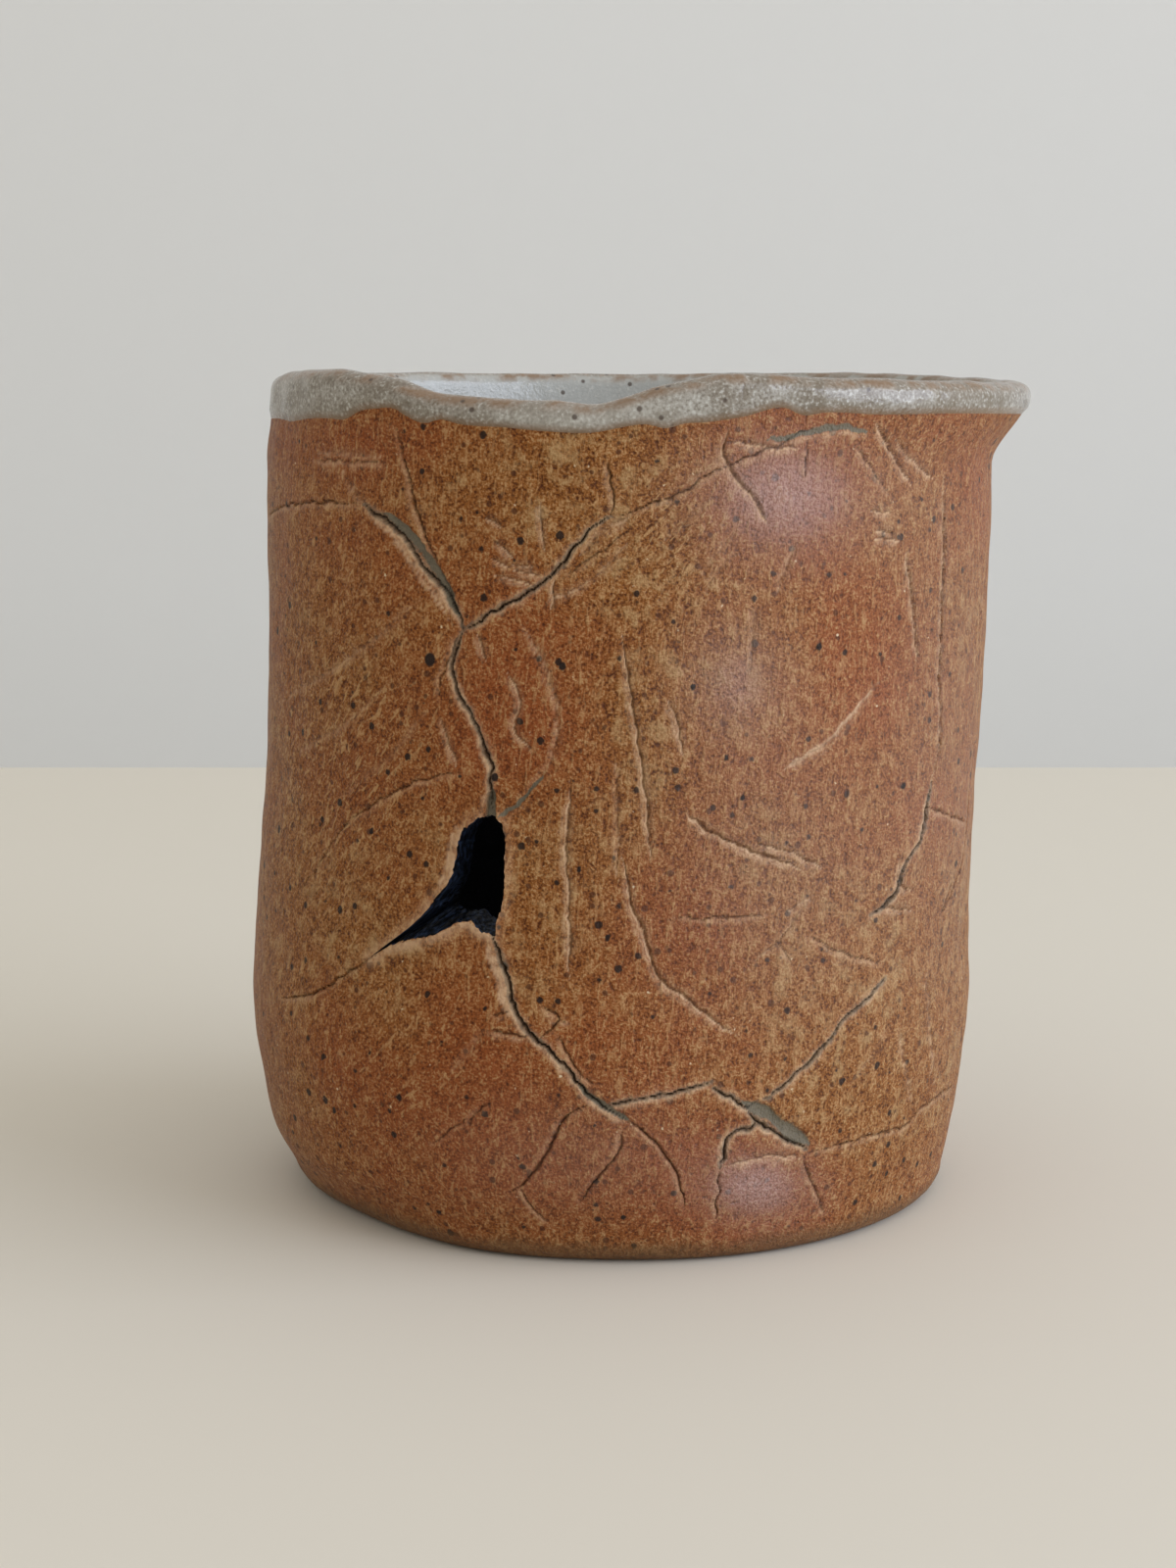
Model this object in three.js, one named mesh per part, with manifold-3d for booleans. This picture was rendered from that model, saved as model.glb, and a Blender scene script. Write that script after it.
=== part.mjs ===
// A handmade stoneware mug with no handle. One wall of clay was rolled out, scored, stretched until its
// skin cracked, joined into a cup and fired. The wall is torn right through on the left of its front.
// Millimetres, +Z up. The origin is the middle of the foot, and the torn front faces -Y.
import * as THREE from "three";
import { mergeVertices } from "three/addons/utils/BufferGeometryUtils.js";
import Module from "manifold-3d";

const wasm = await Module();
wasm.setup();

// Driving dimensions of the cup
const HEIGHT = 98; // foot to the mean height of the lip
const FOOT_RADIUS = 37.8; // flat disc that the cup stands on
const FOOT_ROUND = 3; // rounding from the foot up into the wall
const HEEL_RADIUS = 42.8; // outside of the wall just above the foot
const HEEL_HEIGHT = 11;
const BELLY_RADIUS = 44.3; // widest part, low on the wall
const BELLY_HEIGHT = 22;
const FLANK_RADIUS = 43.7; // where the belly has turned into the straight wall
const FLANK_HEIGHT = 34;
const WAIST_RADIUS = 43.4;
const WAIST_HEIGHT = 62;
const LIP_RADIUS = 43.5;
const WALL = 4;
const LIP_WALL = 3.4; // the wall thins to this at the lip
const FLOOR = 6;
const INSIDE_ROUND = 9; // corner between the inside wall and the floor

// Hand-formed irregularity
const LIP_ZONE = 20; // depth below the lip over which the lip's waves die out
const FLARE_ZONE = 8; // depth below the lip's rounding over which it turns outwards
const THIN_ZONE = 14; // depth below the lip over which the wall thins
const TUCK_ZONE = 9; // height above the foot over which the wall draws in to it
const LUMP = 0.15; // unevenness of the paddled wall
const LEAN = [[0, 0], [12, -0.5], [30, -0.4], [50, 0.6], [62, 1.1], [98, 1.3]]; // height, shift to +X
const LIP_WAVE = [ // degrees round from the front, lip above or below HEIGHT
  [-90, 0.3], [-62, 1.3], [-48, 1.3], [-37, 0.3], [-29, -1.1], [-12, -1.8], [-4, -2],
  [4, -0.2], [15, 1.1], [26, 0.7], [56, 0.1], [90, -0.2], [135, 0.5], [180, 0.2], [225, 0.5],
];
const LIP_FLARE = [ // degrees round from the front, lip pushed outwards
  [-90, -0.9], [-45, -0.2], [0, 0.3], [30, 1.2], [62, 2.6], [90, 4.6], [120, 2], [180, 0.5], [225, -0.3],
];
const FOOT_TUCK = [ // degrees round from the front, foot drawn inwards
  [-100, 0.6], [-75, 1.5], [-55, 2.6], [-40, 2], [-25, 1], [0, 0.8], [20, 0.2], [45, 0], [150, 0], [210, 0.3],
];

// Mesh density
const SEGMENTS = 96;
const WALL_ROWS = 20;
const INSIDE_ROWS = 8;
const ROUND_STEPS = 4;
const CRACK_STEP = 3;
const PROUD = 1; // cutters stand this far out of the wall on both sides

// The damage is drawn on the wall as [degrees round from the front, height], for a cup of this height
const DRAWN_HEIGHT = 98;

// The tear: its outline on the outside of the wall, and the same points where it meets the inside
const TEAR = [
  { out: [-20.2, 51.3], in: [-20.2, 50.6] },
  { out: [-22.8, 50.4], in: [-22.4, 49.8] },
  { out: [-24.3, 48.4], in: [-23.8, 48.2] },
  { out: [-25.2, 44.6], in: [-24.8, 44.8] },
  { out: [-28.4, 41.6], in: [-25.8, 42.9] },
  { out: [-34, 37.4], in: [-27, 41.6] },
  { out: [-39.4, 34], in: [-27.4, 40.6] },
  { out: [-31.2, 36.9], in: [-26.2, 40.4] },
  { out: [-26.2, 38.2], in: [-24.4, 40.4] },
  { out: [-22.6, 39.5], in: [-22.2, 40.6] },
  { out: [-20.4, 38.7], in: [-20.6, 40] },
  { out: [-18.1, 38.1], in: [-18.8, 39.4] },
  { out: [-17.2, 41.2], in: [-17.8, 41.4] },
  { out: [-17, 45.4], in: [-17.6, 45] },
  { out: [-17.4, 49.6], in: [-18, 49] },
  { out: [-18.6, 51.1], in: [-18.8, 50.4] },
];

// The open cracks: depth of the groove, and stations of [degrees, height, width of the groove]
const CRACKS = {
  shoulder: {
    depth: 1.5,
    path: [[-78, 83, 0.3], [-53, 84.6, 0.5], [-43, 84.6, 0.7], [-37, 82.2, 1.4], [-30.5, 78, 2.3],
      [-26.8, 74.7, 1.8], [-24.9, 71.6, 1.1]],
  },
  collar: {
    depth: 1.1,
    path: [[-24.9, 71.6, 1.1], [-19, 73.9, 0.8], [-12.7, 76.5, 1], [-7.8, 80.5, 1], [-3.3, 83.7, 0.8],
      [7.5, 87.6, 0.5], [14, 89.9, 0.5], [22, 92.2, 0.6], [29, 93.2, 0.3]],
  },
  collar_spur: {
    depth: 0.7,
    path: [[-3.3, 83.7, 0.6], [-3, 86.8, 0.5], [-4, 89.8, 0.3]],
  },
  neck: {
    depth: 1.7,
    path: [[-24.9, 71.6, 0.9], [-26, 66.4, 0.8], [-23.4, 62.2, 1], [-20.8, 57.4, 1], [-19.9, 50.4, 1.7]],
  },
  tear_tail: {
    depth: 1.1,
    path: [[-37.5, 34.8, 1.2], [-42.5, 32.7, 1], [-50.5, 29.4, 0.6], [-63, 26.6, 0.3]],
  },
  keel: {
    depth: 1.7,
    path: [[-18.6, 39, 1.4], [-16.6, 34.8, 1.2], [-15, 29.9, 1], [-11.8, 26.7, 1.1], [-6.7, 23.3, 1.3],
      [-2.1, 19.7, 1.7], [0.2, 18.9, 1.8]],
  },
  keel_fork: {
    depth: 1.1,
    path: [[0.2, 18.9, 1.4], [4.1, 16.7, 0.9], [7.1, 13.8, 0.8], [9.6, 10.7, 0.6], [10.4, 8.7, 0.3]],
  },
  keel_root: {
    depth: 0.9,
    path: [[-2.4, 19.4, 0.8], [-7.4, 16.9, 0.9], [-10.1, 13.2, 0.8], [-14.8, 9.2, 0.3]],
  },
  sill: {
    depth: 1.2,
    path: [[0.2, 18.9, 1.6], [5.5, 20, 0.9], [10.6, 20.8, 0.6], [14.4, 21, 0.5]],
  },
  star: {
    depth: 1.7,
    path: [[14, 21.1, 0.6], [18.1, 19.2, 1.5], [21.6, 17.7, 2.3], [26.2, 15.2, 2.4], [30.8, 13.3, 0.8]],
  },
  star_branch: {
    depth: 1.3,
    path: [[21.6, 17.7, 1.8], [25.3, 19.8, 1.3], [32.1, 22.8, 1.1], [38.7, 26.3, 0.9], [46.3, 29.6, 0.4]],
  },
  star_arm: {
    depth: 0.7,
    path: [[30.4, 13.4, 0.7], [41.3, 13.1, 0.6], [54, 13, 0.5], [76, 12.2, 0.3]],
  },
  star_foot: {
    depth: 1.1,
    path: [[21.8, 17.4, 0.9], [18.2, 15.3, 1.1], [16.4, 13.1, 1], [15.5, 9.3, 0.7], [14.6, 6, 0.4]],
  },
  right_fold: {
    depth: 1.1,
    path: [[46.9, 79.6, 0.5], [50.7, 70.6, 0.8], [54.8, 63.7, 0.9], [56, 56.8, 1], [54, 50.8, 1.2],
      [52.9, 45.8, 1.3], [48.7, 41.7, 1.1], [47, 39, 0.5]],
  },
};

// A smooth curve through [position, value] stations
function through(stations) {
  const curve = new THREE.CubicInterpolant(stations.map((s) => s[0]), stations.map((s) => s[1]), 1);
  return (at) => curve.evaluate(at)[0];
}

// The same, closed round a full turn of degrees
function around(stations) {
  const laps = [-360, 0, 360].flatMap((lap) => stations.map(([degrees, value]) => [degrees + lap, value]));
  const curve = through(laps);
  return (degrees) => curve(THREE.MathUtils.euclideanModulo(degrees, 360));
}

const lean = through(LEAN.map(([height, shift]) => [(height * HEIGHT) / DRAWN_HEIGHT, shift]));
const lipWave = around(LIP_WAVE);
const lipFlare = around(LIP_FLARE);
const footTuck = around(FOOT_TUCK);
const outsideRadius = through([
  [FOOT_ROUND, FOOT_RADIUS + FOOT_ROUND],
  [HEEL_HEIGHT, HEEL_RADIUS],
  [BELLY_HEIGHT, BELLY_RADIUS],
  [FLANK_HEIGHT, FLANK_RADIUS],
  [WAIST_HEIGHT, WAIST_RADIUS],
  [HEIGHT, LIP_RADIUS],
]);

// Thickness of the wall at a height
function wallAt(height) {
  return THREE.MathUtils.lerp(WALL, LIP_WALL, THREE.MathUtils.smoothstep(height, HEIGHT - THIN_ZONE, HEIGHT));
}

// Moves a point of the true round cup to where the hand-formed cup has it
function formed(radius, height, degrees) {
  const { smoothstep, degToRad } = THREE.MathUtils;
  const turn = degToRad(degrees);
  const lift = lipWave(degrees) * smoothstep(height, HEIGHT - LIP_ZONE, HEIGHT);
  const lipBase = HEIGHT - LIP_WALL / 2;
  const flare = lipFlare(degrees) * smoothstep(height, lipBase - FLARE_ZONE, lipBase);
  const tuck = footTuck(degrees) * (1 - smoothstep(height, 0, TUCK_ZONE)) * smoothstep(radius, 0, FOOT_RADIUS);
  const lumpy = smoothstep(height, FOOT_ROUND, BELLY_HEIGHT) * smoothstep(radius, 0, WAIST_RADIUS - WALL);
  const rise = height / HEIGHT;
  const waves = [3 * turn + 4 * rise, 5 * turn - 9 * rise + 1, 2 * turn + 13 * rise];
  const lump = waves.reduce((sum, wave) => sum + Math.sin(wave), 0);
  const reach = radius + flare - tuck + LUMP * lumpy * lump;
  return new THREE.Vector3(reach * Math.sin(turn) + lean(height), -reach * Math.cos(turn), height + lift);
}

// A point at a depth into the wall, behind a place drawn on its outside
function inWall([degrees, drawn], depth) {
  const height = (drawn * HEIGHT) / DRAWN_HEIGHT;
  return formed(outsideRadius(height) - depth, height, degrees);
}

// Points of an arc from one angle to another, in degrees, without its first point
function arc(centreX, centreY, radius, from, to) {
  return Array.from({ length: ROUND_STEPS }, (_, i) => {
    const angle = THREE.MathUtils.degToRad(from + ((to - from) * (i + 1)) / ROUND_STEPS);
    return new THREE.Vector2(centreX + radius * Math.cos(angle), centreY + radius * Math.sin(angle));
  });
}

// The cup's section from the middle of the foot, up the outside, over the lip and down to the floor
function section() {
  const lipRound = LIP_WALL / 2;
  const lipBase = HEIGHT - lipRound;
  const insideRadius = (height) => outsideRadius(height) - wallAt(height);
  const cornerHeight = FLOOR + INSIDE_ROUND;
  const points = [new THREE.Vector2(0, 0), new THREE.Vector2(FOOT_RADIUS, 0)];
  points.push(...arc(FOOT_RADIUS, FOOT_ROUND, FOOT_ROUND, -90, 0));
  for (let i = 1; i <= WALL_ROWS; i++) {
    const height = THREE.MathUtils.lerp(FOOT_ROUND, lipBase, i / WALL_ROWS);
    points.push(new THREE.Vector2(outsideRadius(height), height));
  }
  points.push(...arc(outsideRadius(lipBase) - lipRound, lipBase, lipRound, 0, 180));
  for (let i = 1; i <= INSIDE_ROWS; i++) {
    const height = THREE.MathUtils.lerp(lipBase, cornerHeight, i / INSIDE_ROWS);
    points.push(new THREE.Vector2(insideRadius(height), height));
  }
  points.push(...arc(insideRadius(cornerHeight) - INSIDE_ROUND, cornerHeight, INSIDE_ROUND, 0, -90));
  points.push(new THREE.Vector2(0, FLOOR));
  return points;
}

// A closed three.js geometry as a solid that can be cut
function solid(geometry) {
  geometry.deleteAttribute("normal");
  geometry.deleteAttribute("uv");
  const merged = mergeVertices(geometry, 1e-4);
  const corners = merged.index.array;
  const triVerts = [];
  for (let i = 0; i < corners.length; i += 3) {
    const [a, b, c] = corners.slice(i, i + 3);
    if (a !== b && b !== c && c !== a) triVerts.push(a, b, c);
  }
  return new wasm.Manifold(new wasm.Mesh({
    numProp: 3,
    vertProperties: merged.attributes.position.array,
    triVerts: new Uint32Array(triVerts),
  }));
}

// The whole cup, turned round its axis and then formed by hand
function cup() {
  const geometry = new THREE.LatheGeometry(section(), SEGMENTS).rotateX(Math.PI / 2);
  const position = geometry.attributes.position;
  for (let i = 0; i < position.count; i++) {
    const [x, y] = [position.getX(i), position.getY(i)];
    const degrees = THREE.MathUtils.radToDeg(Math.atan2(x, -y));
    const place = formed(Math.hypot(x, y), position.getZ(i), degrees);
    position.setXYZ(i, place.x, place.y, place.z);
  }
  return solid(geometry);
}

// A closed skin over rings of points that all run the same way round, with the same cap at both ends
function loft(rings, cap) {
  const count = rings[0].length;
  const last = (rings.length - 1) * count;
  const index = cap.flatMap(([a, b, c]) => [a, b, c, last + c, last + b, last + a]);
  for (let ring = 0; ring + count <= last; ring += count) {
    for (let i = 0; i < count; i++) {
      const next = (i + 1) % count;
      index.push(ring + i, ring + count + i, ring + next);
      index.push(ring + next, ring + count + i, ring + count + next);
    }
  }
  const geometry = new THREE.BufferGeometry().setFromPoints(rings.flat()).setIndex(index);
  return solid(geometry);
}

// The piece of wall that the tear leaves open
function tearCutter() {
  const outline = TEAR.map(({ out }) => new THREE.Vector2(...out));
  const cap = THREE.ShapeUtils.triangulateShape(outline, []);
  const outside = TEAR.map(({ out }) => inWall(out, -PROUD));
  const middle = TEAR.map(({ out, in: inner }) => {
    const place = new THREE.Vector2(...out).lerp(new THREE.Vector2(...inner), 0.4);
    return inWall(place.toArray(), WALL / 2);
  });
  const inside = TEAR.map(({ in: inner }) => inWall(inner, WALL + PROUD));
  return loft([outside, middle, inside], cap);
}

// A V-shaped groove that follows a crack and thins with it towards its ends
function crackCutter({ depth, path }) {
  const perDegree = THREE.MathUtils.degToRad(BELLY_RADIUS);
  const stations = path.map(([degrees, height, width]) => {
    return new THREE.Vector3(degrees * perDegree, height, width);
  });
  const curve = new THREE.CatmullRomCurve3(stations, false, "centripetal");
  const widest = Math.max(...stations.map((station) => station.z));
  const steps = Math.ceil(curve.getLength() / CRACK_STEP);
  const rings = Array.from({ length: steps + 1 }, (_, i) => {
    const place = curve.getPointAt(i / steps);
    const along = curve.getTangentAt(i / steps);
    const groove = depth * Math.sqrt(place.z / widest);
    const half = (place.z / 2) * ((groove + PROUD) / groove);
    const side = new THREE.Vector2(-along.y, along.x).setLength(half);
    return [
      inWall([(place.x - side.x) / perDegree, place.y - side.y], -PROUD),
      inWall([(place.x + side.x) / perDegree, place.y + side.y], -PROUD),
      inWall([place.x / perDegree, place.y], groove),
    ];
  });
  return loft(rings, [[0, 1, 2]]);
}

// A solid as a named mesh of the given finish
function piece(name, form, material) {
  const { vertProperties, triVerts } = form.getMesh();
  const geometry = new THREE.BufferGeometry();
  geometry.setAttribute("position", new THREE.BufferAttribute(vertProperties, 3));
  geometry.setIndex(new THREE.BufferAttribute(triVerts, 1));
  geometry.computeVertexNormals();
  const mesh = new THREE.Mesh(geometry, material);
  mesh.name = name;
  return mesh;
}

const stoneware = new THREE.MeshStandardMaterial({ color: 0x9a6b48, roughness: 0.5, metalness: 0 });
let mugSolid = cup().subtract(tearCutter());
for (const crack of Object.values(CRACKS)) mugSolid = mugSolid.subtract(crackCutter(crack));

const mug = new THREE.Group();
mug.add(piece("mug", mugSolid, stoneware));

export default mug;
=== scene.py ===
"""A handmade stoneware mug with no handle, cracked all over its front and torn through on the left.

Sizes are in millimetres and turn into metres where a mesh is made. The mug stands on z = 0 with the
middle of its foot at the origin, and its torn front faces -Y, towards the camera.
"""
import math

import bpy
import numpy as np
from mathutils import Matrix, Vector, noise


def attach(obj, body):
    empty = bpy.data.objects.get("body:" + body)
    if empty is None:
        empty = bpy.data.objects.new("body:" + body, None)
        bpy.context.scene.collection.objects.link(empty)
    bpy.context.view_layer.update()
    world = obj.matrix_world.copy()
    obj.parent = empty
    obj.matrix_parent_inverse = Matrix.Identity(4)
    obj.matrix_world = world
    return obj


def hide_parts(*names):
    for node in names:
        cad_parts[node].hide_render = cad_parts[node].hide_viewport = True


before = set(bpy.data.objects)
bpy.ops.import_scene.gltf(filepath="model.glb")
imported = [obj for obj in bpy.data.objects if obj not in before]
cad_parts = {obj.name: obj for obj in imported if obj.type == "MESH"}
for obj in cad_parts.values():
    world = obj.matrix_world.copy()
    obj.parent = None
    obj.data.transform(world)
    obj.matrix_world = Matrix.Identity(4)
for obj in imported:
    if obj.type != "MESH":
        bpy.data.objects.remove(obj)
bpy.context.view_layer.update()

MM = 0.001

# The cup's own sizes, as in its solid
HEIGHT = 98.0
FOOT_RADIUS = 37.8
FOOT_ROUND = 3.0
WALL = 4.0
LIP_WALL = 3.4
FLOOR = 6.0
INSIDE_ROUND = 9.0
LIP_ZONE = 20.0
FLARE_ZONE = 8.0
THIN_ZONE = 14.0
BELLY_HEIGHT = 22.0
TUCK_ZONE = 9.0
LUMP = 0.15
INSIDE_RADIUS = 39.4
OUTSIDE = [(3, 40.8), (11, 42.8), (22, 44.3), (34, 43.7), (62, 43.4), (98, 43.5)]
LEAN = [(0, 0), (12, -0.5), (30, -0.4), (50, 0.6), (62, 1.1), (98, 1.3)]
LIP_WAVE = [
    (-90, 0.3), (-62, 1.3), (-48, 1.3), (-37, 0.3), (-29, -1.1), (-12, -1.8), (-4, -2),
    (4, -0.2), (15, 1.1), (26, 0.7), (56, 0.1), (90, -0.2), (135, 0.5), (180, 0.2), (225, 0.5),
]
LIP_FLARE = [
    (-90, -0.9), (-45, -0.2), (0, 0.3), (30, 1.2), (62, 2.6), (90, 4.6), (120, 2), (180, 0.5), (225, -0.3),
]
FOOT_TUCK = [
    (-100, 0.6), (-75, 1.5), (-55, 2.6), (-40, 2), (-25, 1), (0, 0.8), (20, 0.2), (45, 0), (150, 0),
    (210, 0.3),
]

# Mesh of the cup: columns crowd towards the front, where the damage is. EDGE_ROW slides to the lower edge
# of the lip's glaze, and DIP_ROW to that glaze's edge inside.
COLUMNS = 240
CROWDING = 0.6
CENTRE_RING = 15
FOOT_RING = 30
WALL_ROW = 0.8
EDGE_ROW = 94.0
EDGE_SLIDE = 10.0
DIP_ROW = 86.0
DIP_SLIDE = 6.0
TEAR_STEPS = 8
TEAR_SPACING = 0.22
TEAR_SIZE = 12
NEAR_MARKS = 0.7
AT_MARKS = 0.3
SMOOTH_BELOW = 50
UNROLL = 43.0
# The way the light comes from, up and to the right, which sets the painted highlight and shade beside the
# marks
LIGHT_UP_RIGHT = np.array([0.7, 0.7])

# Unevenness of the hand-formed clay in millimetres: how far it goes, and the size of its lumps
WANDER_OF_MARKS = (0.3, 1.4)
FRAY_OF_MARKS = (0.14, 0.5)
SWELL_OF_MARKS = (0.45, 3.5)
SLOW_LUMPS = (0.22, 13)
QUICK_LUMPS = (0.14, 4.5)
GLAZE_LUMPS = (0.3, 5)
CREST_LUMPS = (0.25, 5)
FOOT_LINE = (0.8, 6)

# What a hairline keeps of its drawn width, the raised clay beside cracks and round the tear, the pale band
# round the tear with its painted highlight, the glaze's step, and the swelling of glassy places
HAIRLINE_SHARE = 0.75
SHORE_OFF = 0.2
SHORE_WIDTH = 0.28
TORN_REACH = 3
TORN_RISE = 0.22
TORN_RISE_WIDTH = 0.8
TORN_PALE_AND_HIGHLIGHT_WIDTH = 0.9
GLAZE_STEP = 0.3
GLASSY_SWELL = 0.45

# How steeply a patch of tone or gloss fades from its middle
PATCH_FALL = 2.2

# Finishes of the cup's faces, in the order of its material slots
CLAY, LIP, BLACK_INSIDE, TORN = range(4)

# The strength of the room's light
LIGHT_FROM_LEFT = 0.66
LIGHT_FROM_RIGHT = 1.1

# The stage in metres: its width, how far the table's two edges and the wall are from the cup's middle, the
# drop behind the table, and the wall's height
STAGE_WIDTH = 4.0
TABLE_FRONT = -1.0
TABLE_BACK = 0.345
WALL_BEHIND = 1.0
DROP = 0.4
WALL_TALL = 2.2

# Where the photograph was taken from, and its pixels
PHOTO_WIDTH = 1200
PHOTO_HEIGHT = 1600
PHOTO_FOCAL = 2932.0
SENSOR = 36
EYE = np.array([-3.4, -350.0, 102.0])
PITCH = math.radians(8.676)
CUP_MIDDLE = 638
CUP_HALF_WIDTH = 370
LIP_ROW = 395
PIXELS_PER_MM = 8.7

# Lower edge of the lip's glaze, in the photograph's pixels
GLAZE_EDGE = [
    (284, 427), (297, 430), (316, 427), (337, 427), (352, 428), (368, 419), (383, 417), (403, 417),
    (414, 424), (434, 432), (449, 428), (470, 433), (512, 436), (554, 440), (592, 442), (630, 437),
    (659, 433), (678, 437), (700, 432), (720, 431), (760, 425), (800, 416), (820, 424), (841, 421),
    (893, 423), (966, 422),
]
GLAZE_EDGE_BEHIND = [(96, 94.0), (135, 93.4), (180, 94.2), (225, 93.4), (262, 93.0)]
DIP_INSIDE = [(-90, 86), (-30, 84.5), (20, 87), (80, 85), (140, 88), (200, 85), (240, 87)]

# The tear's outline on the outside of the wall, in the photograph's pixels, and how far each point draws
# in towards the hole's middle where it meets the inside
TEAR_MIDDLE = (492, 893)
TEAR = [
    (497, 833, 0), (487, 836, 0), (480, 840, 0), (473, 848, 0), (468, 861, 0),
    (465, 878, 0), (462, 894, 0.02), (456, 904, 0.08), (446, 915, 0.18), (436, 928, 0.28),
    (424, 941, 0.4), (412, 951, 0.5), (388, 969, 0.62), (378, 977, 0.66), (402, 964, 0.56),
    (427, 958, 0.44), (444, 954, 0.34), (457, 948, 0.24), (469, 941, 0.14), (480, 940, 0.1),
    (489, 947, 0.1), (498, 952, 0.12), (505, 955, 0.14), (508, 938, 0.04), (513, 925, 0),
    (515, 905, 0), (515, 885, 0), (516, 864, 0), (515, 850, 0), (512, 840, 0),
    (505, 834, 0),
]
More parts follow.
